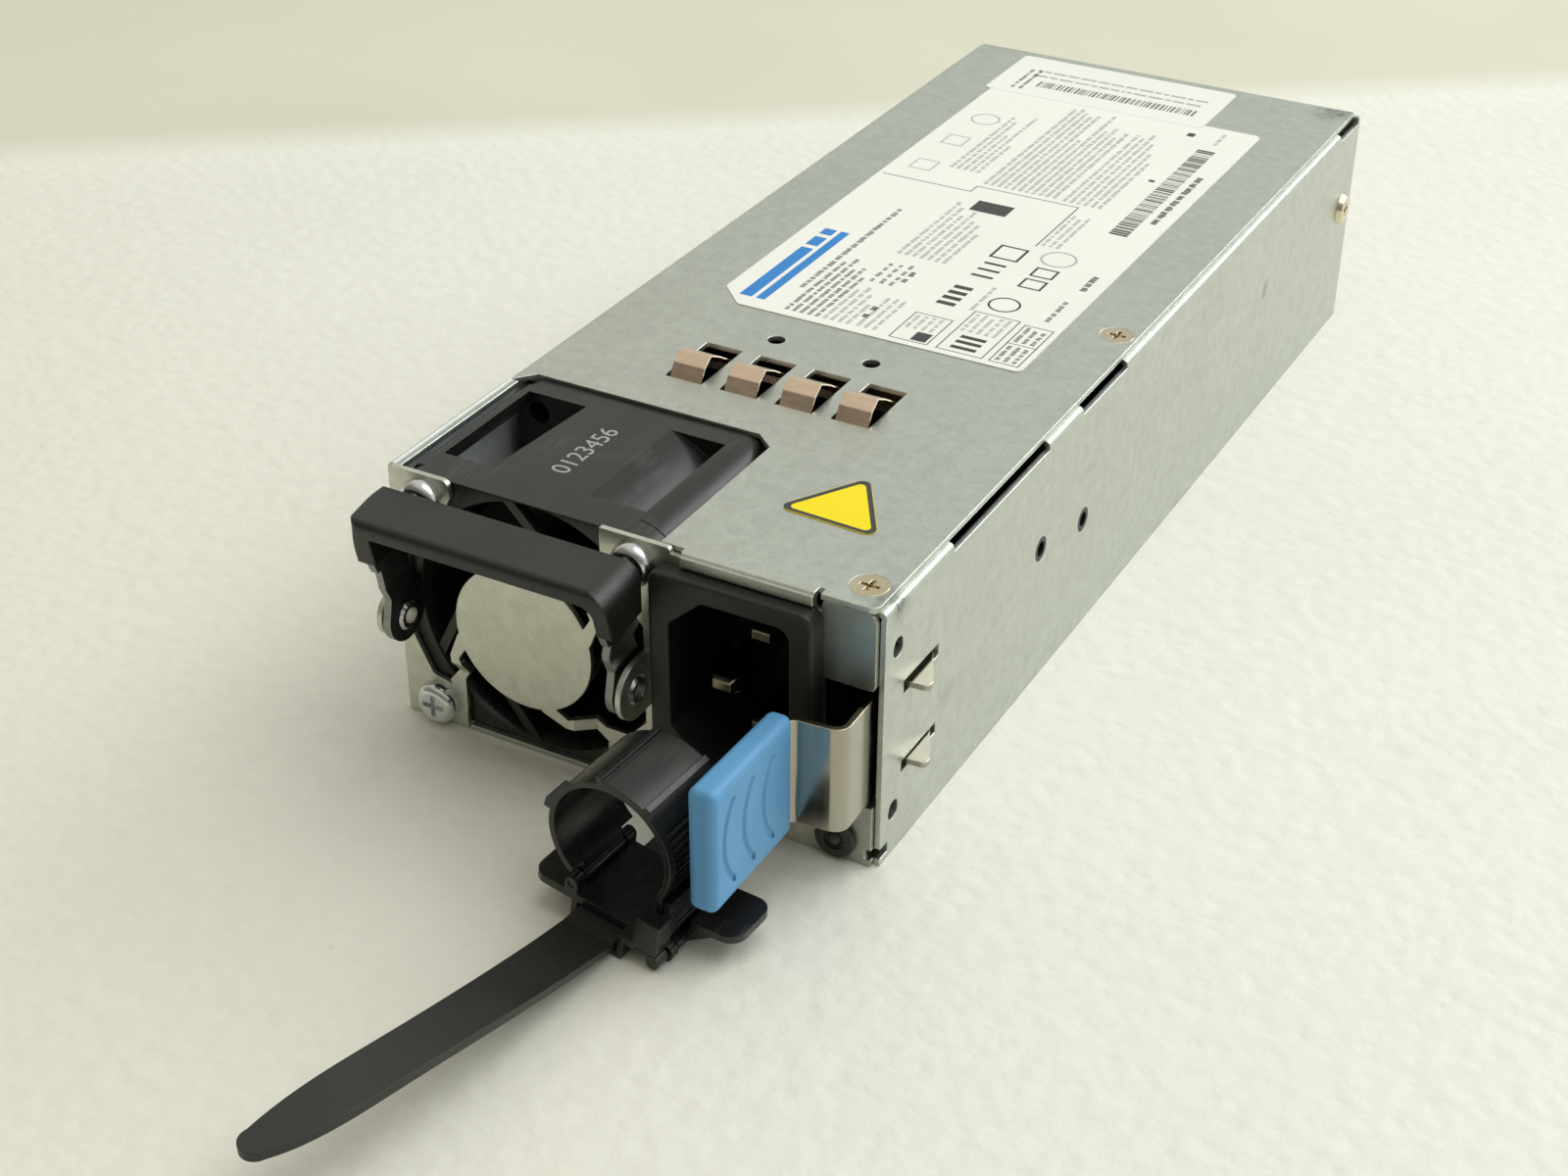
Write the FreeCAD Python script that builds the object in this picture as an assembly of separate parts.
# Hot swap server power supply, built as separate pieces, in millimetres.
# Layout numbers are given from the front left bottom corner of the chassis:
# x to the right, y to the rear, z up.  Every piece is then moved by SHIFT so
# the origin is the centre of the chassis underside.
import FreeCAD, Part
import os, math

os.makedirs("parts", exist_ok=True)
V = FreeCAD.Vector

# ---------------------------------------------------------------- driving sizes
W, D, H = 73.5, 185.0, 39.0          # chassis width, depth, height
T = 0.8                              # sheet thickness
SHIFT = V(-W / 2, -D / 2, 0)
TOPZ = H - T                         # underside of the cover
FAN_C = (22.4, 19.7)                 # fan axis (x, z)
FAN_X = (2.4, 42.4)
FAN_Z = (0.9, 38.5)
FAN_Y = (1.0, 30.9)
SCREW_XZ = [(6.2, 3.5), (6.2, 35.5), (38.6, 35.5), (38.6, 3.5)]
GUARD_C = (22.0, 19.5)
PIVOT_Y, PIVOT_Z = -3.2, 18.6        # handle pivot
CLAMP_C = V(51.6, -28.0, 14.65)      # clamp ring centre at its front end
CLAMP_YAW, CLAMP_ROLL = 3.5, 9.0
RING_R, RING_WALL, RING_LEN = 8.1, 0.8, 12.5
STRAP_U, STRAP_W = 0.4, -12.4        # strap centre in the clamp's frame
LATCH_Y = 56.05                      # latch spring's bending line
BOARD_Z = (3.4, 5.0)

N = {}

# ---------------------------------------------------------------- helpers
def box(x0, x1, y0, y1, z0, z1):
    return Part.makeBox(x1 - x0, y1 - y0, z1 - z0, V(x0, y0, z0))

def cyl(ax, c, r, a, b):
    d = {"x": V(1, 0, 0), "y": V(0, 1, 0), "z": V(0, 0, 1)}[ax]
    p = {"x": lambda: V(a, c[0], c[1]), "y": lambda: V(c[0], a, c[1]), "z": lambda: V(c[0], c[1], a)}[ax]()
    return Part.makeCylinder(r, b - a, p, d)

def cone(ax, c, r0, r1, a, b):
    d = {"x": V(1, 0, 0), "y": V(0, 1, 0), "z": V(0, 0, 1)}[ax]
    p = {"x": lambda: V(a, c[0], c[1]), "y": lambda: V(c[0], a, c[1]), "z": lambda: V(c[0], c[1], a)}[ax]()
    return Part.makeCone(r0, r1, b - a, p, d)

def tube(ax, c, ro, ri, a, b):
    return cyl(ax, c, ro, a, b).cut(cyl(ax, c, ri, a - 1, b + 1))

def unit(a):
    m = math.hypot(a[0], a[1])
    return (a[0] / m, a[1] / m)

def wire2(pts, rad, conv):
    n = len(pts)
    if not isinstance(rad, (list, tuple)):
        rad = [rad] * n
    ends = []
    for i, p in enumerate(pts):
        r = rad[i]
        a, b = pts[i - 1], pts[(i + 1) % n]
        if r <= 0:
            ends.append((p, None, p))
            continue
        u = unit((a[0] - p[0], a[1] - p[1]))
        v = unit((b[0] - p[0], b[1] - p[1]))
        c = max(-1.0, min(1.0, u[0] * v[0] + u[1] * v[1]))
        ang = math.acos(c)
        if abs(math.pi - ang) < 0.02:
            ends.append((p, None, p))
            continue
        d = r / math.tan(ang / 2)
        w = unit((u[0] + v[0], u[1] + v[1]))
        k = r / math.sin(ang / 2) - r
        ends.append(((p[0] + u[0] * d, p[1] + u[1] * d), (p[0] + w[0] * k, p[1] + w[1] * k),
                     (p[0] + v[0] * d, p[1] + v[1] * d)))
    edges = []
    for i in range(n):
        s, e = ends[i][2], ends[(i + 1) % n]
        if math.hypot(s[0] - e[0][0], s[1] - e[0][1]) > 1e-5:
            edges.append(Part.LineSegment(conv(s), conv(e[0])).toShape())
        if e[1] is not None:
            edges.append(Part.Arc(conv(e[0]), conv(e[1]), conv(e[2])).toShape())
    return Part.Wire(edges)

def ext(pts, rad, plane, a, b):
    if plane == "xy":
        conv, d = (lambda p: V(p[0], p[1], a)), V(0, 0, b - a)
    elif plane == "xz":
        conv, d = (lambda p: V(p[0], a, p[1])), V(0, b - a, 0)
    else:
        conv, d = (lambda p: V(a, p[0], p[1])), V(b - a, 0, 0)
    return Part.Face(wire2(pts, rad, conv)).extrude(d)

def sheet(path, t, r, plane, a, b):
    # a bent sheet: path is one face of it, t is laid to the left of the path
    n = len(path)
    off, rp, ro = [], [], []
    for i, p in enumerate(path):
        if i == 0 or i == n - 1:
            q, s = (path[0], path[1]) if i == 0 else (path[-2], path[-1])
            u = unit((s[0] - q[0], s[1] - q[1]))
            off.append((p[0] - u[1] * t, p[1] + u[0] * t))
            rp.append(0), ro.append(0)
        else:
            u = unit((p[0] - path[i - 1][0], p[1] - path[i - 1][1]))
            v = unit((path[i + 1][0] - p[0], path[i + 1][1] - p[1]))
            nn = unit((-(u[1] + v[1]), u[0] + v[0]))
            k = t / (nn[0] * -u[1] + nn[1] * u[0])
            off.append((p[0] + nn[0] * k, p[1] + nn[1] * k))
            left = u[0] * v[1] - u[1] * v[0] > 0
            rp.append(r + t if left else r), ro.append(r if left else r + t)
    return ext(path + off[::-1], rp + ro[::-1], plane, a, b)

def fuse(*s):
    s = [k for k in s if k is not None]
    r = s[0]
    if len(s) > 1:
        r = r.multiFuse(s[1:])
    return r.removeSplitter()

def cut(a, *s):
    for k in s:
        a = a.cut(k)
    return a

def rr(x0, x1, z0, z1, r, plane, a, b):
    return ext([(x0, z0), (x1, z0), (x1, z1), (x0, z1)], r, plane, a, b)

def wirepath(pts, r):
    out = None
    for i in range(len(pts) - 1):
        p, q = V(*pts[i]), V(*pts[i + 1])
        c = Part.makeCylinder(r, p.distanceToPoint(q), p, q.sub(p))
        out = c if out is None else out.fuse(c)
        if i:
            out = out.fuse(Part.makeSphere(r, p))
    return out

def cross_recess(c, ax, top, depth, size):
    w = size * 0.22
    if ax == "z":
        return fuse(box(c[0] - size, c[0] + size, c[1] - w, c[1] + w, top - depth, top + 1),
                    box(c[0] - w, c[0] + w, c[1] - size, c[1] + size, top - depth, top + 1))
    if ax == "y":       # head faces -y
        return fuse(box(c[0] - size, c[0] + size, top - 1, top + depth, c[1] - w, c[1] + w),
                    box(c[0] - w, c[0] + w, top - 1, top + depth, c[1] - size, c[1] + size))
    if ax == "x":
        return fuse(box(top - depth, top + 1, c[0] - size, c[0] + size, c[1] - w, c[1] + w),
                    box(top - depth, top + 1, c[0] - w, c[0] + w, c[1] - size, c[1] + size))

# ================================================================ chassis tray
HOLES_R = [(48.4, 22.0, 1.85), (63.7, 18.8, 1.85), (4.2, 31.6, 1.4), (4.2, 6.8, 1.4)]
TABS = [(0.9, 19.6), (49.4, 60.9), (76.9, 174.7)]
bottom = box(0, W, 0.8, D, 0, T)
tongue = box(10.9, 30.4, 0, 1.0, 0, T)
left = fuse(box(0, T, 0.8, D, 0, 37.0), box(0, T, 27.9, D, 36.9, TOPZ),
            ext([(0, 36.9), (0, H), (2.2, H), (2.2, TOPZ), (T, TOPZ), (T, 36.9)], [0, 1.0, 0, 0, 0.2, 0], "xz", 0.8, 28.0),
            box(0, 5.5, 31.5, 183, TOPZ - T, TOPZ))
right = box(W - T, W, 0.8, D, 0, 37.0)
for a, b in TABS:
    right = right.fuse(ext([(W, 30), (W, TOPZ), (66.2, TOPZ), (66.2, TOPZ - T), (W - T, TOPZ - T), (W - T, 30)],
                           [0, 1.0, 0, 0, 0.2, 0], "xz", a, b))
right = cut(right, box(W - 2, W + 1, 0, 3.0, 1.0, 2.6))
for y, z, r in HOLES_R:
    right = right.cut(cyl("x", (y, z), r, W - 3, W + 1))
right = cut(right, box(W - 3, W + 1, 6.1, 16.1, 23.5, 25.4), box(W - 3, W + 1, 6.1, 16.1, 11.4, 13.1))
right = right.cut(cyl("x", (180.0, 22.7), 1.6, W - 3, W + 1))
rear = box(0, W, D - T, D, 8.6, TOPZ)
vents = []
for k in range(5):
    for j in range(13 if k % 2 == 0 else 12):
        vents.append(cyl("y", (8.0 + 4.8 * j + (2.4 if k % 2 else 0), 13.0 + 4.3 * k), 1.95, D - 3, D + 1))
rear = rear.cut(Part.makeCompound(vents))
rear = fuse(rear, box(0, 4.6, D - T, D, 0, 9), box(68.9, W, D - T, D, 0, 9),
            box(2, 40, D - 7, D - T, TOPZ - T, TOPZ))
chassis = fuse(bottom, tongue, left, right, rear)
# four standoff holes with small rims in the floor are covered by the insulating sheet
N["chassis_tray"] = chassis

# ================================================================ front plate
def arm():
    # one guard arm in disc-centred (x, z); front sheet at y -2, back in the plate's plane
    f = ext([(-8.4, -2.2), (-10.5, -2.2), (-12.1, -6.2), (-12.0, -7.5), (-10.3, -7.5), (-10.75, -6.5), (-9.7, -4.8), (-8.0, -4.4)],
            [0, 0.6, 0.6, 0, 0, 0.3, 0.3, 0], "xz", -2.0, -1.2)
    j = ext([(-2.0, -7.4), (-1.2, -6.95), (0.8, -9.3), (0.8, -10.0), (0.0, -10.0)], 0, "yz", -12.0, -10.4)
    b = ext([(-12.0, -9.6), (-10.4, -9.6), (-11.4, -11.2), (-11.4, -22.0), (-13.9, -22.0), (-13.9, -12.0)], 0, "xz", 0.0, 0.8)
    return fuse(f, j, b)

arms = []
for k in range(4):
    a = arm()
    a.rotate(V(0, 0, 0), V(0, 1, 0), -90.0 * k)
    a.translate(V(GUARD_C[0], 0, GUARD_C[1]))
    arms.append(a)
clipped = [a.common(box(0.7, 44.5, -5, 2, 0.0, H)) for a in arms]
disc = cyl("y", GUARD_C, 10.6, -2.0, -1.2)
plate = ext([(0.7, 0.0), (0.7, H), (10.1, H), (10.3, 36.6), (8.6, 33.3), (5.4, 31.0), (2.5, 27.0), (2.5, 12.9),
             (5.2, 7.4), (8.0, 6.8), (8.4, 0.0)], [0.3, 0.6, 1.0, 0.4, 2.2, 1.0, 1, 0.6, 0.6, 0.6, 0], "xz", 0, T)
rightp = ext([(33.9, 0.0), (72.6, 0.0), (72.6, 38.2), (43.9, 38.2), (43.7, H), (33.4, H), (33.3, 36.8), (33.6, 31.0),
              (36.0, 30.2), (39.5, 26.0), (39.5, 11.0), (36.3, 7.6), (33.4, 5.8)],
             [0, 0.4, 1.7, 0.2, 0.6, 1.0, 0.4, 1.0, 0.6, 1, 0.8, 0.6, 0.6], "xz", 0, T)
rightp = cut(rightp, box(43.6, 63.8, -1, 2, 8.7, 35.9), box(65.5, 73, -1, 2, 9.2, 27.0),
             box(71.7, 73, -1, 2, 1.0, 2.6), box(64.1, 65.1, -1, 2, 36.6, 39),
             box(65.09, 66.0, -1, 2, 37.3, 38.3).cut(cyl("y", (66.0, 37.3), 0.9, -1, 2)),
             box(71.8, 72.7, -1, 2, 26.9, 27.8).cut(cyl("y", (71.8, 27.8), 0.8, -1, 2)))
ret = fuse(box(71.8, 72.6, 0, 5.5, 27.7, 35.6), box(71.8, 72.6, 0, 5.5, 3.2, 8.6))
for y, z, r in HOLES_R[2:]:
    ret = ret.cut(cyl("x", (y, z), r + 0.1, 71, 73))
lugL = fuse(cyl("x", (PIVOT_Y, PIVOT_Z), 3.4, 1.7, 2.5), box(1.7, 2.5, PIVOT_Y, T, PIVOT_Z - 3.4, PIVOT_Z + 3.4))
lugR = fuse(cyl("x", (PIVOT_Y, PIVOT_Z), 4.2, 39.6, 40.4), box(39.6, 40.4, PIVOT_Y, T, PIVOT_Z - 4.2, PIVOT_Z + 4.2))
lugs = fuse(lugL.fuse(lugR))
# the fan guard's arms and disc, the two halves of the plate and the lugs are one stamped sheet
fp = fuse(plate, rightp, *clipped)
fp = fuse(fp, disc)
fp = fuse(fp, lugL, lugR, ret)
fp = fp.cut(cyl("x", (PIVOT_Y, PIVOT_Z), 1.6, 1.2, 3.0)).cut(cyl("x", (PIVOT_Y, PIVOT_Z), 1.6, 39.1, 41.0))
for x, z in SCREW_XZ:
    fp = fp.cut(cyl("y", (x, z), 1.9, -0.5, 2))
fp = fp.cut(cyl("y", (67.7, 3.2), 2.0, -1, 2))
fp = fp.cut(cyl("y", (51.65, 2.6), 1.35, -1, 2))
fp = fp.cut(box(10.5, 33.6, -1, 2, -1, 0.85))
fp = fp.cut(box(10.45, 30.9, -0.5, 1.0, -1, 3.0))
N["front_plate"] = fp

# ================================================================ top cover
SLOTX = [19.05, 27.8, 36.5, 45.2]
cov = ext([(45.4, -0.1), (72.6, -0.1), (72.6, 184.1), (1.1, 184.1), (1.1, 28.3), (3.4, 31.1), (39.0, 31.1),
           (41.95, 28.6), (41.95, 0.95), (45.4, 0.95)],
          [0.2, 1.2, 0.4, 0.4, 0, 0.4, 0.4, 0.4, 0, 0], "xy", TOPZ, H)
cov = cut(cov, box(64.2, 65.0, -1, 1.2, 37, 40))
for x in SLOTX:
    cov = cov.cut(box(x, x + 5.9, 39.5, 51.3, 37, 40))
for x in (27.35, 42.65):
    cov = cov.cut(cyl("z", (x, 56.75), 1.3, 37, 40))
CS = [(69.25, 4.5), (69.55, 82.2)]
for c in CS:
    cov = cov.cut(cone("z", c, 1.35, 2.55, TOPZ - 0.35, H + 0.0001)).cut(cyl("z", c, 1.35, 37, 38.3))
lip = box(45.6, 64.2, -0.8, 0.0, 37.25, H - 0.35)
lip = fuse(lip, ext([(-0.8, H - 0.6), (-0.8, 38.3), (0.3, 38.3), (0.3, H), (-0.2, H)], 0, "yz", 45.6, 64.2))
cov = fuse(cov, lip)
N["top_cover"] = cov

def csk(c):
    s = fuse(cone("z", c, 1.3, 2.5, TOPZ - 0.35, H - 0.02), cyl("z", c, 1.3, 33.5, TOPZ - 0.3))
    return s.cut(cross_recess(c, "z", H - 0.02, 0.7, 1.3))
N["cover_screws"] = Part.makeCompound([csk(c) for c in CS])
for c in CS:
    N["chassis_tray"] = N["chassis_tray"].cut(cyl("z", c, 1.3, 36, 38.5)).cut(cone("z", c, 1.35, 2.55, TOPZ - 0.35, H))

def side_screw(x, sgn):
    a, b = (x, x + 0.9 * sgn)
    head = cone("x", (180.0, 22.7), 2.8, 2.3, x, x + 0.9) if sgn > 0 else cone("x", (180.0, 22.7), 2.3, 2.8, x - 0.9, x)
    sh = cyl("x", (180.0, 22.7), 1.6, min(x, x - 3.2 * sgn), max(x, x - 3.2 * sgn))
    s = fuse(head, sh)
    if sgn > 0:
        s = s.cut(cross_recess((180.0, 22.7), "x", x + 0.9, 0.6, 1.2))
    else:
        s = s.cut(fuse(box(x - 2, x - 0.3, 178.8, 181.2, 22.44, 22.96), box(x - 2, x - 0.3, 179.74, 180.26, 21.5, 23.9)))
    return s
N["side_screws"] = side_screw(W, 1)

# ================================================================ fan
cx, cz = FAN_C
y0, y1 = FAN_Y
fl1 = rr(FAN_X[0], FAN_X[1], FAN_Z[0], FAN_Z[1], [1.6, 6.0, 6.0, 2.4], "xz", y0, y0 + 5.9)
fl2 = rr(FAN_X[0], FAN_X[1], FAN_Z[0], FAN_Z[1], [1.6, 6.0, 6.0, 2.4], "xz", y1 - 3.9, y1)
duct = cyl("y", FAN_C, 19.5, y0 + 1, y1 - 1).common(box(2.5, 42.3, y0, y1, FAN_Z[0], FAN_Z[1]))
pad = ext([(12.2, y0 + 2), (26.6, y0 + 2), (26.6, y1 - 2), (14.2, y1 - 2)], 0, "xy", 35.0, FAN_Z[1])
pad = pad.cut(ext([(8.0, FAN_Z[1] + 1), (12.6, FAN_Z[1] + 1), (14.6, FAN_Z[1]), (8.0, 35.4)], [0, 0, 2.5, 0], "xz", y0 + 5.9, y1 - 3.9))
padb = box(14.1, 26.1, y0 + 2, y1 - 2, FAN_Z[0], 5.0)
rails = [ext([(FAN_X[0], 36.5), (FAN_X[0] + 2.2, 36.5), (FAN_X[0] + 2.2, FAN_Z[1]), (FAN_X[0], FAN_Z[1])], [0, 0, 0, 1.6], "xz", y0 + 2, y1 - 2),
         box(FAN_X[0], FAN_X[0] + 2.0, y0 + 2, y1 - 2, FAN_Z[0], 6.4)]
for za, zb, sg in ((FAN_Z[1], 30.5, -1), (FAN_Z[0], 9.0, 1)):
    # rounded corner rail, 1.8 thick
    rails.append(ext([(36.1, za), (FAN_X[1], za), (FAN_X[1], zb), (FAN_X[1] - 1.8, zb), (FAN_X[1] - 1.8, za + 1.8 * sg), (36.1, za + 1.8 * sg)],
                     [0, 6.0, 0, 0, 4.2, 0], "xz", y0 + 2, y1 - 2))
ff = fuse(fl1, fl2, duct, pad, padb, *rails)
ff = ff.cut(cyl("y", FAN_C, 18.0, y0 - 1, y1 + 1))
bell = cone("y", FAN_C, 18.7, 18.0, y0 - 0.01, y0 + 1.6)
ff = ff.cut(bell)
hub = cyl("y", FAN_C, 9.8, y0 + 0.3, y0 + 1.9)
tubeb = tube("y", FAN_C, 3.0, 2.0, y0 + 1.9, 19.0)
struts = []
for (a, b) in [((18.2, 38.3), (27.5, 28.8)), ((3.6, 6.2), (12.0, 23.0)), ((21.9, -0.2), (14.0, 10.2)),
               ((41.2, 33.2), (32.8, 16.4))]:
    L = math.hypot(b[0] - a[0], b[1] - a[1])
    s = box(0, L, y0 + 0.3, y0 + 1.9, -0.7, 0.7)
    s.rotate(V(0, 0, 0), V(0, 1, 0), -math.degrees(math.atan2(b[1] - a[1], b[0] - a[0])))
    s.translate(V(a[0], 0, a[1]))
    struts.append(s.common(cyl("y", FAN_C, 18.9, y0, y0 + 4)))
struts = Part.makeCompound(struts)
lim = box(FAN_X[0] + 0.1, FAN_X[1] - 0.1, y0, y1, FAN_Z[0] + 0.1, FAN_Z[1] - 0.1)
ff = fuse(ff, hub, tubeb, *[s.common(lim) for s in struts.Solids])
for x, z in SCREW_XZ:
    ff = ff.cut(cyl("y", (x, z), 1.4, y0 - 1, y0 + 5.5))
    ff = ff.cut(cyl("y", (x, z), 1.7, y1 - 4.5, y1 + 1))
ff = ff.cut(cyl("y", FAN_C, 1.2, y0 - 1, y0 + 3))
# thin step round the frame's front end
ff = ff.cut(tube("y", (36.4, 32.5), 6.5, 5.85, y0 + 3.6, y0 + 3.8).common(box(36.4, 45, 0, 40, 32.5, 40)))
N["fan_frame"] = ff

def pan(c):
    # head in front of the plate at y 0, threaded into the fan's front flange
    h = cyl("y", c, 3.05, -2.1, 0.0)
    h = h.makeFillet(1.25, [e for e in h.Edges if abs(e.CenterOfMass.y + 2.1) < 1e-3 and len(e.Vertexes) == 1])
    s = fuse(h, cyl("y", c, 1.4, 0.0, y0 + 4.2))
    return s.cut(cross_recess(c, "y", -2.1, 1.0, 1.7))
N["fan_screws"] = Part.makeCompound([pan(c) for c in SCREW_XZ])

RIN, ROUT = 8.7, 9.5
cup = fuse(cyl("y", FAN_C, ROUT, 4.2, 23.4).cut(cyl("y", FAN_C, RIN, 4.0, 21.9)))
cup = cup.makeFillet(0.8, [e for e in cup.Edges if abs(e.CenterOfMass.y - 23.4) < 1e-3])
blades = []
for k in range(7):
    secs = []
    for r, pitch, ch in ((8.9, 38, 13.0), (13.2, 48, 14.5), (17.45, 56, 15.5)):
        p = math.radians(pitch)
        ca, sa = math.cos(p), math.sin(p)
        pts = []
        for u, v in ((-ch / 2, -0.5), (0.0, -0.5 - 0.9), (ch / 2, -0.35), (ch / 2, 0.35), (0.0, 0.5 - 0.9), (-ch / 2, 0.5)):
            yy = u * ca - v * sa
            tt = u * sa + v * ca
            pts.append(V(tt, yy + 13.2, r))
        secs.append(Part.makePolygon(pts + [pts[0]]))
    b = Part.makeLoft(secs, True, True)
    b.rotate(V(0, 13.2, 0), V(0, 1, 0), 360.0 / 7 * k)
    b.translate(V(cx, 0, cz))
    blades.append(b)
keep = tube("y", FAN_C, 17.5, 9.2, 5.0, 22.4)
N["fan_rotor"] = fuse(cup, *[b.common(keep) for b in blades])
N["fan_shaft"] = cyl("y", FAN_C, 1.0, 3.6, 21.9)
N["rotor_magnet"] = tube("y", FAN_C, RIN, 7.9, 6.0, 19.0)
N["fan_bearings"] = Part.makeCompound([tube("y", FAN_C, 2.0, 1.05, a, a + 3.2) for a in (4.6, 15.2)])
st = tube("y", FAN_C, 7.3, 3.05, 7.0, 17.0)
sl = [box(-0.8, 0.8, 6, 18, 4.2, 8) for _ in range(6)]
for k, s in enumerate(sl):
    s.rotate(V(0, 0, 0), V(0, 1, 0), 60.0 * k)
    s.translate(V(cx, 0, cz))
N["fan_stator"] = cut(st, *sl)
N["fan_plug"] = cut(rr(30.6, 37.4, 5.0, 11.0, 0.4, "xz", 32.6, 38.2), box(31.4, 36.6, 37.2, 40, 6.0, 10.2))
N["fan_cable"] = Part.makeCompound([wirepath([(32.0 + 1.3 * k, 31.0, 8.0), (32.0 + 1.3 * k, 32.5, 8.0)], 0.55)
                                    for k in range(4)])

# ================================================================ handle
def ear(xl, xu, t):
    lo = fuse(cyl("x", (PIVOT_Y, PIVOT_Z), 3.8, xl, xl + t),
              ext([(-6.95, 19.0), (0.5, 19.0), (0.45, 20.8), (-0.7, 23.0), (-1.5, 25.6), (-7.3, 25.6), (-7.2, 24.6), (-6.2, 22.4)],
                  [0, 0, 1.5, 1.5, 0, 0, 0.6, 1.2], "yz", xl, xl + t))
    up = ext([(-1.5, 27.4), (-7.9, 27.4), (-8.6, 29.0), (-8.6, 36.9), (-3.9, 36.9), (-3.9, 31.0), (-2.2, 28.6)], 0, "yz", xu, xu + t)
    mid = ext([(xl, 25.5), (xl + t, 25.5), (xu + t, 27.5), (xu, 27.5)], 0, "xz", -7.3, -1.5)
    return fuse(lo, mid, up)
EL, ER = (3.1, 2.7), (37.9, 38.3)
bar = box(EL[1], ER[1] + 1.1, -8.6, -3.9, 35.9, 36.9)
hf = fuse(ear(EL[0], EL[1], 1.1), ear(ER[0], ER[1], 1.1), bar)
hf = hf.cut(cyl("x", (PIVOT_Y, PIVOT_Z), 1.65, 0, 45))
N["handle_frame"] = hf
GT = 37.9                                 # top of the grip
g = ext([(1.7, -2.9), (3.5, -12.4), (42.05, -12.4), (41.4, -2.9)], [0.5, 1.5, 0.5, 0.4], "xy", 30.7, GT)
# opening: runs through from front to back, small corner left, large corner right
og = Part.makeLoft([wire2([(6.4, 25.0), (39.7, 25.0), (39.7, 35.45), (6.4, 35.45)], [0, 0, 1.9, 0.5], lambda p: V(p[0], -13.5, p[1])),
                    wire2([(4.7, 25.0), (39.5, 25.0), (39.5, 35.45), (4.7, 35.45)], [0, 0, 1.9, 0.5], lambda p: V(p[0], -1.5, p[1]))], True, True)
g = g.cut(og)
# rounded right shoulder and small top edges
# one swept rounding along the slanted right side
ang = math.atan2(-0.65, 9.5)
d = V(math.sin(ang), math.cos(ang), 0)
RS = 3.2
rb = Part.makeBox(8, 16, 8, V(-RS, -3, -0.001))
rb = rb.cut(Part.makeCylinder(RS, 30, V(-RS, -10, 0), V(0, 1, 0)))
rb = rb.common(Part.makeBox(9, 40, 9, V(-RS, -10, 0)))
rb.rotate(V(0, 0, 0), V(0, 0, 1), -math.degrees(ang))
rb.translate(V(42.05, -12.4, GT - RS))
g = g.cut(rb)
g = g.common(ext([(-10.3, 29.0), (-12.4, 36.7), (-12.4, GT), (-2.9, GT), (-2.9, 29.0)], [0, 2.0, 0.9, 0.6, 0], "yz", 0.0, 50.0))
g = g.common(ext([(1.75, 25.0), (1.75, GT), (50.0, GT), (50.0, 25.0)], [0, 0.9, 0, 0], "xz", -20.0, 0.0))
g = g.cut(hf)
for x in (8.3, 32.6):
    ring = tube("y", (x, 36.7), 1.05, 0.8, -12.5, -12.25).cut(box(x + 0.1, x + 3, -13, -12, 30, 39)).common(box(0, 50, -13, -12, 30, 36.75))
    g = g.cut(ring)
N["handle_grip"] = g
def rivet(lo, hi, out):
    # tubular rivet through lug (fixed) and ear (running fit)
    s = fuse(cyl("x", (PIVOT_Y, PIVOT_Z), 1.6, lo, hi), cyl("x", (PIVOT_Y, PIVOT_Z), 2.2, lo, lo + 0.4),
             cone("x", (PIVOT_Y, PIVOT_Z), 2.15, 1.75, hi - 0.4, hi))
    return s.cut(cyl("x", (PIVOT_Y, PIVOT_Z), 1.2, lo - 1, hi + 1))
N["handle_pins"] = Part.makeCompound([rivet(1.3, 4.85, 0), rivet(37.25, 40.8, 0)])

# ================================================================ inlet
fl = rr(42.0, 65.5, 7.6, 37.0, [1.6, 2.0, 2.0, 1.6], "xz", -3.0, 0.0)
try:
    fl = fl.makeFillet(0.7, [e for e in fl.Edges if abs(e.CenterOfMass.y + 3.0) < 1e-3])
except Exception:
    pass
bodyi = rr(43.8, 63.6, 8.9, 35.7, 1.0, "xz", 0.0, 17.5)
cavp = [(45.1 + 4.8, 10.2), (62.3, 10.2), (62.3, 34.4), (45.1 + 4.8, 34.4), (45.1, 30.1), (45.1, 14.5)]
cav = ext(cavp, [0.8, 2.0, 2.0, 0.8, 0.8, 0.8], "xz", -4, 13.5)
inl = fuse(fl, bodyi).cut(cav)
PINS = [(51.6, 21.7, -1.2), (55.6, 28.7, 1.8), (55.6, 14.7, 1.8)]
for x, z, y in PINS:
    inl = inl.cut(box(x - 2, x + 2, 10, 20, z - 1, z + 1))
# two side snap ribs that hold it in the plate
inl = fuse(inl, ext([(0.95, 8.9), (3.0, 8.9), (0.95, 8.2)], 0, "yz", 50, 57), ext([(0.95, 35.7), (3.0, 35.7), (0.95, 36.4)], 0, "yz", 50, 57))
N["inlet_housing"] = inl
def blade(x, z, y):
    # tapered tip in plan, bevelled above and below
    b = ext([(x - 2, 21.5), (x - 2, y + 1.6), (x - 1.25, y), (x + 1.25, y), (x + 2, y + 1.6), (x + 2, 21.5)], 0, "xy", z - 1, z + 1)
    return b.common(ext([(y, z - 0.6), (y, z + 0.6), (y + 0.7, z + 1), (21.5, z + 1), (21.5, z - 1), (y + 0.7, z - 1)], 0, "yz", x - 3, x + 3))
N["inlet_pins"] = Part.makeCompound([blade(*p) for p in PINS])
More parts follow.
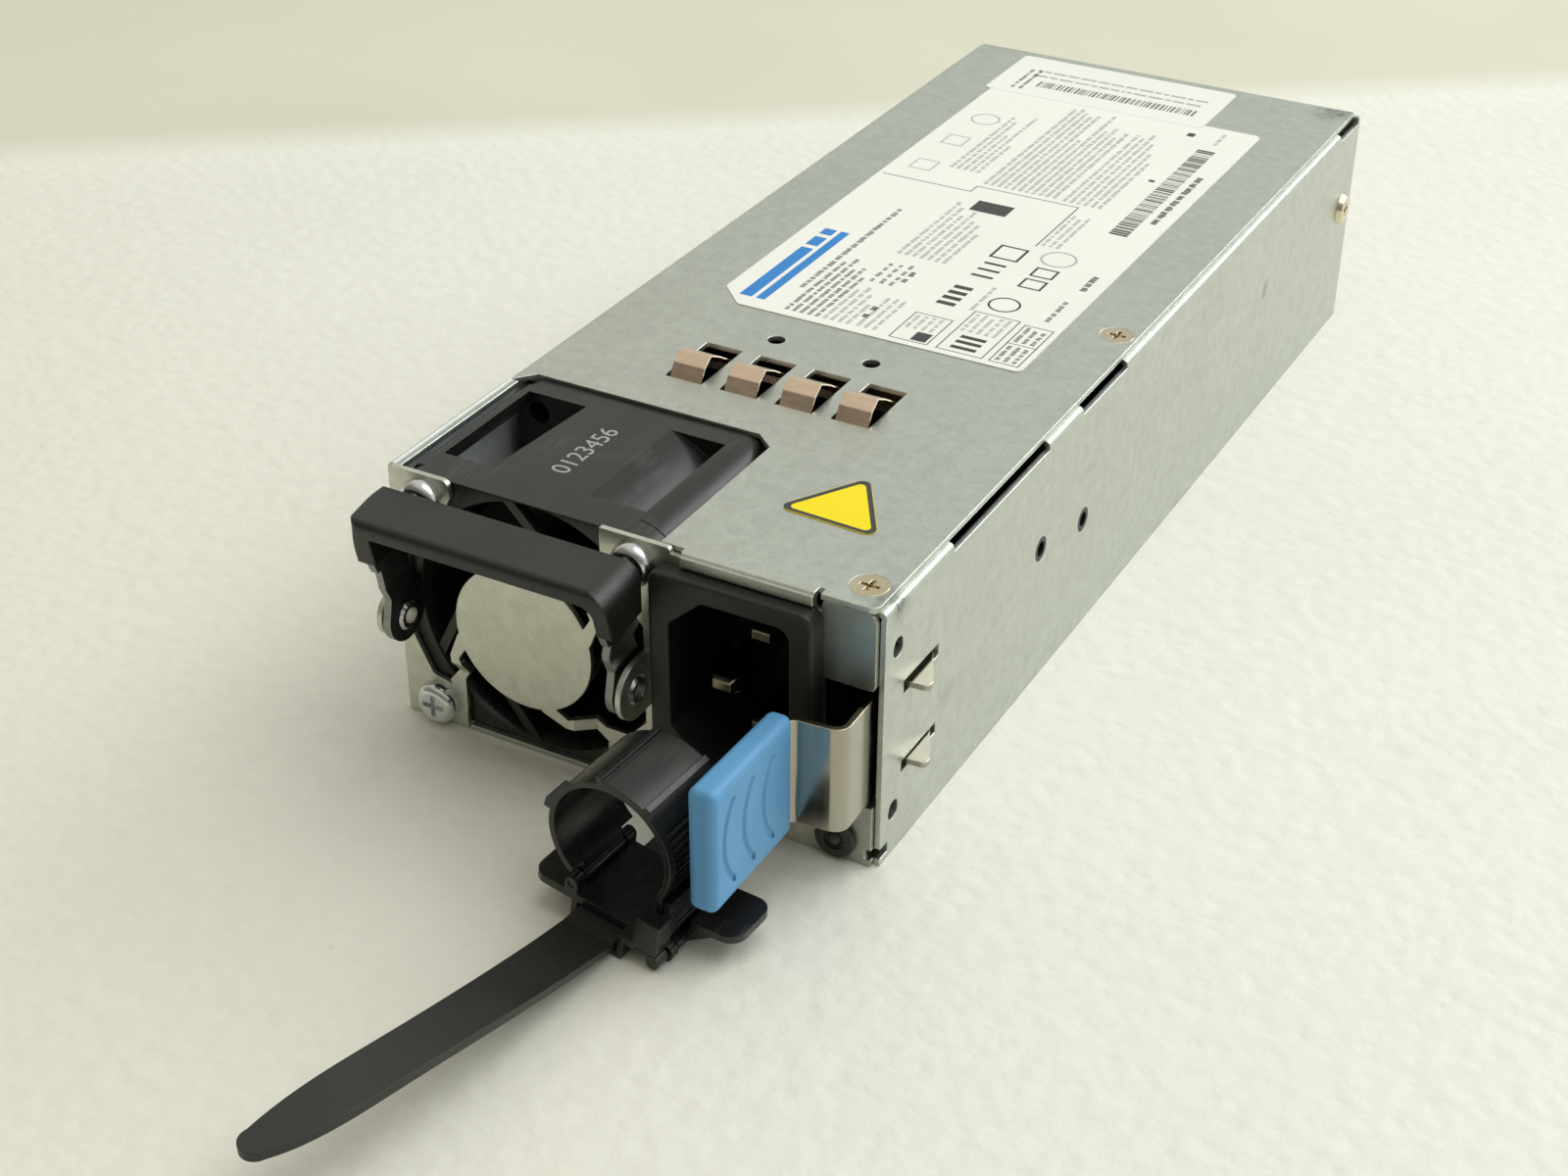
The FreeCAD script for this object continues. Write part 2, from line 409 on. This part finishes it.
N["inlet_wires"] = Part.makeCompound([
    wirepath([(51.6, 21.6, 21.7), (51.6, 27.0, 21.7), (51.6, 35.0, 12.0), (51.6, 35.0, 5.1)], 1.2),
    wirepath([(55.6, 21.6, 28.7), (55.6, 28.0, 28.7), (56.6, 36.0, 14.0), (56.6, 36.0, 5.1)], 1.2),
    wirepath([(55.6, 21.6, 14.7), (55.6, 24.5, 14.7), (61.4, 35.0, 9.5), (61.4, 35.0, 5.1)], 1.2)])
lh = fuse(cyl("y", (67.7, 3.2), 2.85, -0.9, 0.0), cyl("y", (67.7, 3.2), 1.95, 0.0, 6.0))
try:
    lh = lh.makeFillet(0.35, [e for e in lh.Edges if abs(e.CenterOfMass.y + 0.9) < 1e-3])
except Exception:
    pass
N["led_holder"] = lh.cut(cyl("y", (67.7, 3.2), 1.5, -2, -0.55)).cut(cyl("y", (67.7, 3.2), 1.05, -2, 7))
N["led_lens"] = fuse(cyl("y", (67.7, 3.2), 1.05, -0.1, 6.4), Part.makeSphere(1.05, V(67.7, -0.1, 3.2)))

# ================================================================ latch
ls = sheet([(64.6, -22.0), (64.6, -11.0), (65.5, -8.0), (72.35, -7.4), (72.1, 1.6), (72.1, 69.0)][::1], 0.8, 1.2, "xy", 10.2, 25.6)
for y, z, r in HOLES_R[:2]:
    ls = ls.cut(cyl("x", (y, z), 2.15, 70, 73))
def tooth(zc):
    return ext([(71.5, 7.2), (76.25, 7.6), (76.25, 8.9), (73.2, 15.0), (71.5, 17.5)], [0, 0.7, 0.7, 3.0, 0], "xy", zc - 0.4, zc + 0.4)
ls = fuse(ls, tooth(24.2), tooth(12.4))
ls = cut(ls, box(71, 72.09, 6.4, 17.0, 21.2, 23.79), box(71, 72.09, 6.4, 17.0, 12.81, 15.4))
N["latch_spring"] = ls
tab = ext([(62.2, -27.8), (66.1, -27.8), (66.1, -8.6), (62.7, -8.6)], 0, "xy", 9.3, 27.0)
tab = tab.makeFillet(1.2, tab.Edges)
for cy in (-16.2, -20.9, -25.6):
    # curved finger groove, a round gouge with the ends closed
    R = 8.9
    gr = Part.makeTorus(R, 0.6, V(66.38, cy + R, 18.2), V(1, 0, 0)).common(box(65, 67, cy - 2, cy + 2.75, 11.6, 24.2))
    tab = tab.cut(gr)
tab = tab.cut(ls)
N["latch_tab"] = tab
def lrivet(y, z):
    s = fuse(cyl("x", (y, z), 1.85, 70.4, W), cyl("x", (y, z), 2.9, 70.4, 70.95))
    return s.cut(cyl("x", (y, z), 1.1, 69, W + 1))
N["latch_rivets"] = Part.makeCompound([lrivet(y, z) for y, z, r in HOLES_R[:2]])

# ================================================================ ground fingers
leafp = [(38.4, 37.55), (39.95, 38.25), (41.3, 40.5), (43.2, 41.75), (45.6, 40.6), (48.6, 38.7), (49.6, 37.5), (49.3, 36.2)]
leaf = [sheet(leafp, -0.2, 0.5, "yz", x + 0.45, x + 5.45) for x in SLOTX]
axle = cyl("x", (38.3, 37.45), 0.25, 19.0, 51.2)
N["ground_fingers"] = fuse(axle, *leaf)
gs = box(17.0, 53.0, 31.4, 37.6, TOPZ - 0.25, TOPZ)
N["ground_strip"] = gs

# ================================================================ labels
lab = ext([(12.05 + 4.5, 64.3), (62.15, 64.3), (62.15, 165.0), (12.05, 165.0), (12.05, 64.3 + 4.5)],
          [0.8, 1.2, 1.2, 0.3, 0.8], "xy", H, H + 0.12)
lab2 = rr(10.75, 51.75, 163.5, 182.0, 1.0, "xy", H, H + 0.12)
lab = lab.cut(rr(10.65, 51.85, 163.4, 182.1, 1.0, "xy", H - 1, H + 1))
N["rating_label"] = lab
N["serial_label"] = lab2
N["yellow_sticker"] = ext([(50.05, 15.2), (65.25, 14.6), (57.45, 27.7)], 1.3, "xy", H, H + 0.12)

# ================================================================ board and components
bd = fuse(box(2.0, 70.0, 33.0, 182.5, *BOARD_Z), box(6.0, 67.5, 182.0, 193.5, *BOARD_Z))
SO = [(8.0, 40.0), (66.0, 44.0), (8.0, 176.0), (65.0, 176.0)]
for c in SO:
    bd = bd.cut(cyl("z", c, 1.6, 3, 6))
bd = bd.cut(box(36.0, 37.6, 184.2, 194, 3, 6))
N["main_board"] = bd
N["board_standoffs"] = Part.makeCompound([tube("z", c, 2.6, 1.25, T, BOARD_Z[0]) for c in SO])
def bscrew(c):
    h = cyl("z", c, 2.4, 5.0, 6.5)
    h = h.makeFillet(0.6, [e for e in h.Edges if abs(e.CenterOfMass.z - 6.5) < 1e-3 and len(e.Vertexes) == 1])
    return fuse(h, cyl("z", c, 1.25, 1.2, 5.0)).cut(cross_recess(c, "z", 6.5, 0.9, 1.3))
N["board_screws"] = Part.makeCompound([bscrew(c) for c in SO])
ins = box(1.6, 71.0, 31.4, 182.8, T, T + 0.3)
for c in SO:
    ins = ins.cut(cyl("z", c, 2.9, 0, 2))
N["insulation_sheet"] = ins
pads = []
for side in (0, 1):
    z0, z1 = (BOARD_Z[1], BOARD_Z[1] + 0.08) if side == 0 else (BOARD_Z[0] - 0.08, BOARD_Z[0])
    for k in range(9):
        pads.append(box(7.4 + 3.1 * k, 9.8 + 3.1 * k, 186.0, 193.0, z0, z1))
    for k in range(12):
        pads.append(box(38.6 + 2.35 * k, 40.3 + 2.35 * k, 186.0 + (1.0 if k % 4 == 0 else 0), 193.0, z0, z1))
N["edge_contacts"] = Part.makeCompound(pads)
BZ = BOARD_Z[1]
N["choke_core"] = tube("z", (19.0, 48.0), 9.0, 5.2, BZ + 2.0, BZ + 12.0)
wind = tube("z", (19.0, 48.0), 10.4, 3.9, BZ + 0.6, BZ + 13.4).cut(tube("z", (19.0, 48.0), 9.08, 5.12, BZ + 1.9, BZ + 12.1))
wind = wind.cut(box(17.4, 20.6, 30, 70, 0, 30))
N["choke_winding"] = wind
N["x_capacitors"] = Part.makeCompound([rr(35.0, 43.0, 42.0, 60.0, 0.8, "xy", BZ, BZ + 15.0),
                                       rr(46.0, 54.0, 42.0, 60.0, 0.8, "xy", BZ, BZ + 15.0)])
N["fuse"] = fuse(cyl("y", (58.6, BZ + 3.6), 2.6, 46.0, 64.0), cyl("y", (58.6, BZ + 3.6), 2.8, 44.0, 48.5), cyl("y", (58.6, BZ + 3.6), 2.8, 61.5, 66.0))
N["relay"] = rr(6.0, 18.0, 63.0, 78.0, 0.6, "xy", BZ, BZ + 15.5)
N["bridge_rectifier"] = rr(24.0, 44.0, 66.0, 69.6, 0.5, "xy", BZ + 1, BZ + 19.0)
hs = [box(22.0, 64.0, 69.6, 72.0, BZ, BZ + 28.0)]
for k in range(6):
    hs.append(box(22.0, 64.0, 72.0, 76.0, BZ + 3 + 4.4 * k, BZ + 4.2 + 4.4 * k))
N["primary_heatsink"] = fuse(*hs)
N["power_transistors"] = Part.makeCompound([box(x, x + 7.5, 66.4, 69.6, BZ + 4, BZ + 19) for x in (46.0, 55.2)])
core = fuse(box(6.0, 28.0, 82.0, 88.0, BZ + 1, BZ + 24), box(6.0, 28.0, 104.0, 110.0, BZ + 1, BZ + 24),
            box(6.0, 9.0, 88.0, 104.0, BZ + 1, BZ + 24), box(25.0, 28.0, 88.0, 104.0, BZ + 1, BZ + 24),
            cyl("y", (17.0, BZ + 12.5), 4.0, 87, 105))
N["inductor_core"] = core
N["inductor_winding"] = tube("y", (17.0, BZ + 12.5), 7.6, 4.1, 88.5, 103.5)
cap = cyl("y", (48.0, BZ + 14.6), 14.0, 80.0, 124.0)
cap = cap.makeFillet(1.2, [e for e in cap.Edges if len(e.Vertexes) == 1])
grv = tube("y", (48.0, BZ + 14.6), 15, 13.4, 83.0, 84.2)
N["bulk_capacitors"] = cap.cut(grv)
tcore = fuse(box(34.0, 62.0, 128.0, 133.0, BZ + 1, BZ + 22), box(34.0, 62.0, 147.0, 152.0, BZ + 1, BZ + 22),
             box(34.0, 37.5, 133.0, 147.0, BZ + 1, BZ + 22), box(58.5, 62.0, 133.0, 147.0, BZ + 1, BZ + 22),
             cyl("y", (48.0, BZ + 11.5), 4.5, 132, 148))
N["transformer_core"] = tcore
N["transformer_winding"] = tube("y", (48.0, BZ + 11.5), 8.6, 4.6, 133.4, 146.6)
sh_ = [box(31.0, 66.0, 155.0, 157.0, BZ, BZ + 26)]
for k in range(8):
    sh_.append(box(32.0 + 4.4 * k, 33.2 + 4.4 * k, 157.0, 162.0, BZ, BZ + 26))
N["secondary_heatsink"] = fuse(*sh_)
oc = []
for i in range(5):
    for j in range(2):
        c = cyl("z", (28.0 + 9.2 * i, 167.8 + 8.6 * j - (1.2 if i in (0, 4) and j else 0)), 3.9, BZ, BZ + 16)
        if any(math.hypot(c.CenterOfMass.x - s[0], c.CenterOfMass.y - s[1]) < 6.8 for s in SO):
            continue
        c = c.makeFillet(0.5, [e for e in c.Edges if abs(e.CenterOfMass.z - BZ - 16) < 1e-3 and len(e.Vertexes) == 1])
        oc.append(c)
N["output_capacitors"] = Part.makeCompound(oc)
N["control_board"] = box(12.0, 13.2, 116.0, 168.0, BZ, BZ + 27)
N["control_chips"] = Part.makeCompound([box(13.2, 14.9, 121.0, 130.0, BZ + 8, BZ + 17), box(13.2, 14.5, 136.0, 141.0, BZ + 6, BZ + 12),
                                        box(13.2, 14.5, 136.0, 141.0, BZ + 15, BZ + 20), box(13.2, 14.9, 148.0, 160.0, BZ + 7, BZ + 15),
                                        box(10.9, 12.0, 126.0, 132.0, BZ + 10, BZ + 16)])

# ================================================================ cord retainer
PL = FreeCAD.Placement(CLAMP_C, FreeCAD.Rotation(V(0, 0, 1), -CLAMP_YAW).multiply(FreeCAD.Rotation(V(0, 1, 0), CLAMP_ROLL)))
def place(s):
    s = s.copy()
    s.Placement = PL.multiply(s.Placement)
    return s
R0, R1, RL = RING_R, RING_R + RING_WALL, RING_LEN
HU, HW = -4.6, -9.2                       # band hinge in the clamp frame
# base: plate, strap rails, hinge knuckles, pawl housing
bp = ext([(-10.5, 0.0), (6.6, 0.0), (6.6, RL), (-10.5, RL)], [2.0, 0.5, 0.5, 2.0], "xy", -11.5, -10.4)
SU, SW = STRAP_U, STRAP_W
rail = []
for s in (-1, 1):
    a, b = sorted((SU + s * 3.85, SU + s * 4.65))
    rail.append(box(a, b, 0.0, RL, -13.9, -11.4))
    a, b = sorted((SU + s * 2.5, SU + s * 4.65))
    rail.append(box(a, b, 0.0, 3.4, -13.9, -13.25))
    rail.append(box(a, b, RL - 3.4, RL, -13.9, -13.25))
kn = [fuse(cyl("y", (HU, HW), 0.95, a, b), box(HU - 0.95, HU + 0.95, a, b, -10.6, HW)) for a, b in ((0.0, 1.9), (RL - 1.9, RL))]
PU, PW = 9.3, -11.9                       # lever pivot
ck = [fuse(cyl("y", (PU, PW), 1.35, a, b), ext([(5.2, -10.6), (5.2, -13.8), (PU, PW - 1.35), (PU + 0.9, PW - 0.95), (PU + 1.3, PW + 0.3), (8.4, -10.5)], 0, "xz", a, b))
      for a, b in ((0.3, 1.6), (RL - 1.6, RL - 0.3))]
post = box(8.35, 9.25, 0.6, RL - 0.6, -10.7, -4.4)      # upright the band's right leg runs behind
post = fuse(post, box(5.9, 9.25, 0.6, RL - 0.6, -11.5, -10.4))
# guide foot and the block in front of the upright
foot = fuse(box(SU + 3.85, SU + 4.65, -2.3, 0.1, -13.9, -10.6), box(SU + 2.1, SU + 4.65, -2.3, 0.1, -13.9, -13.25))
front = fuse(box(6.2, 9.6, -2.1, 0.3, -10.85, -6.2), box(8.35, 9.6, -0.2, 1.0, -10.85, -6.2), box(SU + 3.85, 6.4, -2.1, 0.3, -11.5, -10.3))
base = fuse(bp, *rail, *kn, *ck, post, foot, front)
base = base.cut(cyl("y", (HU, HW), 0.55, -1, RL + 1)).cut(cyl("y", (PU, PW), 0.68, -1, RL + 1))
base = base.cut(box(3.6, 7.6, 3.4, RL - 3.4, -14.2, -11.5))
base = base.cut(cyl("y", (PU, PW), 1.5, 1.6, RL - 1.6))
base = base.cut(box(6.2, 16.0, 1.6, RL - 1.6, -14.2, -11.15))
for k in range(4):
    base = base.fuse(box(8.95, 9.5, 1.2, RL - 1.2, -9.6 + 1.25 * k, -9.1 + 1.25 * k))
base = base.removeSplitter()
LOW = box(20, 90, -60, 20, -5, 0.15)
N["clamp_base"] = place(base).cut(LOW)
# band: open ring, right leg behind the post, left leg to the hinge
def pol(r, a):
    return (r * math.cos(math.radians(a)), r * math.sin(math.radians(a)))
ringo = tube("y", (0, 0), R1, R0, 0.0, RL)
gap = ext([(0, 0), pol(30, -20.0), (30, -30), (-30, -30), pol(30, 236.0)], 0, "xz", -1, RL + 1)
ringo = ringo.cut(gap)
q0, q1 = pol(R0 + 0.02, -20.0), pol(R1 - 0.02, -20.0)
legr = ext([(7.30, -4.2), (8.1, -4.2), (8.1, -9.9), (7.30, -9.9)], 0, "xz", 0.6, RL - 0.6)
conn = ext([pol(R0, -18), pol(R1, -18), (8.1, -3.6), (8.1, -4.4), (7.3, -4.4)], 0, "xz", 0.0, RL)
s0, s1 = pol(R0, 238.0), pol(R1, 238.0)
legl = ext([pol(R0, 234), pol(R1, 234), (HU - 0.85, HW + 0.2), (HU + 0.4, HW + 0.5)], 0, "xz", 2.2, RL - 2.2)
kb = cyl("y", (HU, HW), 0.85, 2.2, RL - 2.2)
pinb = cyl("y", (HU, HW), 0.5, 0.1, RL - 0.1)
ribs = []
for a0 in (105.0, 62.0):
    rbx = box(R0 + 0.3, R1 + 0.95, 0.0, RL, -0.45, 0.45)
    rbx.rotate(V(0, 0, 0), V(0, 1, 0), -a0)
    ribs.append(rbx)
flat = tube("y", (0, 0), R1 + 0.35, R0 + 0.4, 0.0, RL).cut(
    ext([(0, 0), pol(30, 62), (30, -30), (-30, -30), (-30, 8), pol(30, 105)], 0, "xz", -1, RL + 1))
nub = box(-R1 - 0.9, -R1 + 0.4, 0.0, 4.0, -0.5, 0.9)
nub.rotate(V(0, 0, 0), V(0, 1, 0), 8.0)
band = fuse(ringo, conn, legr, legl, kb, pinb, flat, nub, *ribs)
teeth = []
for k in range(9):
    a0 = -14.0 + 6.5 * k
    t_ = box(R1 - 0.32, R1 + 0.5, 1.0, RL - 1.0, -0.28, 0.28)
    t_.rotate(V(0, 0, 0), V(0, 1, 0), -a0)
    teeth.append(t_)
for k in range(4):
    teeth.append(box(7.85, 8.5, 1.0, RL - 1.0, -9.4 + 1.25 * k, -8.9 + 1.25 * k))
band = band.cut(Part.makeCompound(teeth)).removeSplitter()
N["clamp_band"] = place(band)
# lever: pawl under the strap's edge, hub, web and paddle
hubl = cyl("y", (PU, PW), 1.1, 2.0, RL - 2.0)
pinl = fuse(cyl("y", (PU, PW), 0.6, -0.1, RL), cyl("y", (PU, PW), 0.95, -2.1, 0.05))
pawl = ext([(PU, PW + 0.3), (PU, PW - 1.1), (5.0, -13.6), (2.9, -13.6), (2.9, -13.3), (5.2, -13.2), (6.6, -12.3)], 0, "xz", 4.0, RL - 4.0)
pad_ = ext([(10.7, 3.4), (17.5, 3.4), (17.5, 11.8), (10.7, 11.8)], [0.3, 2.2, 2.2, 0.3], "xy", 0, 1.0)
pad_.rotate(V(10.3, 0, 0), V(0, 1, 0), -8.0)
pad_.translate(V(0.0, 0, -9.3))
neck = ext([(PU + 0.55, PW + 0.6), (PU + 1.0, PW - 0.2), (PU + 2.6, -8.9), (PU + 1.4, -8.9)], 0, "xz", 3.4, 10.4)
web = fuse(ext([(PU + 0.8, PW - 0.5), (PU + 5.2, -8.7), (PU + 1.4, -8.9)], 0, "xz", 4.0, 4.8),
           ext([(PU + 0.8, PW - 0.5), (PU + 5.2, -8.7), (PU + 1.4, -8.9)], 0, "xz", 8.4, 9.2))
N["clamp_lever"] = place(fuse(hubl, pinl, pawl, pad_, neck, web))

# strap: stiff moulded nylon, twisted to the clamp's roll, curving away at the free end
def wp(p):
    return PL.multVec(V(*p))
def section(c, head, w, t, roll):
    # c centre, head = heading in plan from -y (deg, + to the left), roll right side down
    h, r = math.radians(head), math.radians(roll)
    side = V(math.cos(h), -math.sin(h), 0)          # to the right of travel, seen from above, travelling to -y
    side = V(side.x * math.cos(r), side.y * math.cos(r), -math.sin(r))
    up = V(math.sin(r) * math.cos(h), -math.sin(r) * math.sin(h), math.cos(r))
    pts = [c + side * (w / 2) + up * (t / 2), c - side * (w / 2) + up * (t / 2), c - side * (w / 2) - up * (t / 2), c + side * (w / 2) - up * (t / 2)]
    return Part.makePolygon(pts + [pts[0]])
p_a, p_b = wp((SU, 26.7, SW)), wp((SU, -3.0, SW))
straight = Part.makeLoft([section(p_a, 3.5, 7.0, 1.2, 9), section(p_b, 3.5, 7.0, 1.2, 9)], True, True)
path = [(p_b, 3.5, 7.0, 9.0), (V(49.75, -39.8, 4.35), 3.5, 7.0, 6.0), (V(48.9, -52.5, 7.0), 5.2, 7.0, 2.5), (V(47.5, -64.0, 9.0), 8.6, 7.0, 0.0),
        (V(45.75, -73.6, 10.0), 13.0, 6.9, 0.0), (V(44.2, -79.2, 10.05), 18.0, 5.9, 0.0), (V(42.7, -83.0, 9.85), 23.0, 4.0, 0.0)]
free = Part.makeLoft([section(c, h, w, 1.2, r) for c, h, w, r in path], True, False)
tip = Part.makeCylinder(2.0, 1.2, V(42.7, -83.0, 9.25), V(0, 0, 1))
strap = fuse(straight, free, tip)
N["retainer_strap"] = strap
an = fuse(cyl("y", (51.65, 2.6), 2.3, -0.8, 0.0), cyl("y", (51.65, 2.6), 1.3, 0.0, 3.2), cone("y", (51.65, 2.6), 1.7, 1.0, 0.85, 3.0))
an = fuse(an, box(49.9, 53.4, -1.7, -0.7, 1.3, 3.6))
N["strap_anchor"] = an.cut(strap)

# ================================================================ export
bad = []
for name in sorted(N):
    s = N[name].copy()
    s.translate(SHIFT)
    if not s.isValid() or s.Volume <= 0:
        bad.append(name)
    s.exportStep("parts/%s.step" % name)
    bb = s.BoundBox
    print("%-20s sol %2d vol %9.1f  x %7.2f %7.2f  y %7.2f %7.2f  z %6.2f %6.2f" % (
        name, len(s.Solids), s.Volume, bb.XMin, bb.XMax, bb.YMin, bb.YMax, bb.ZMin, bb.ZMax))
print(len(N), "pieces; not valid:", bad)
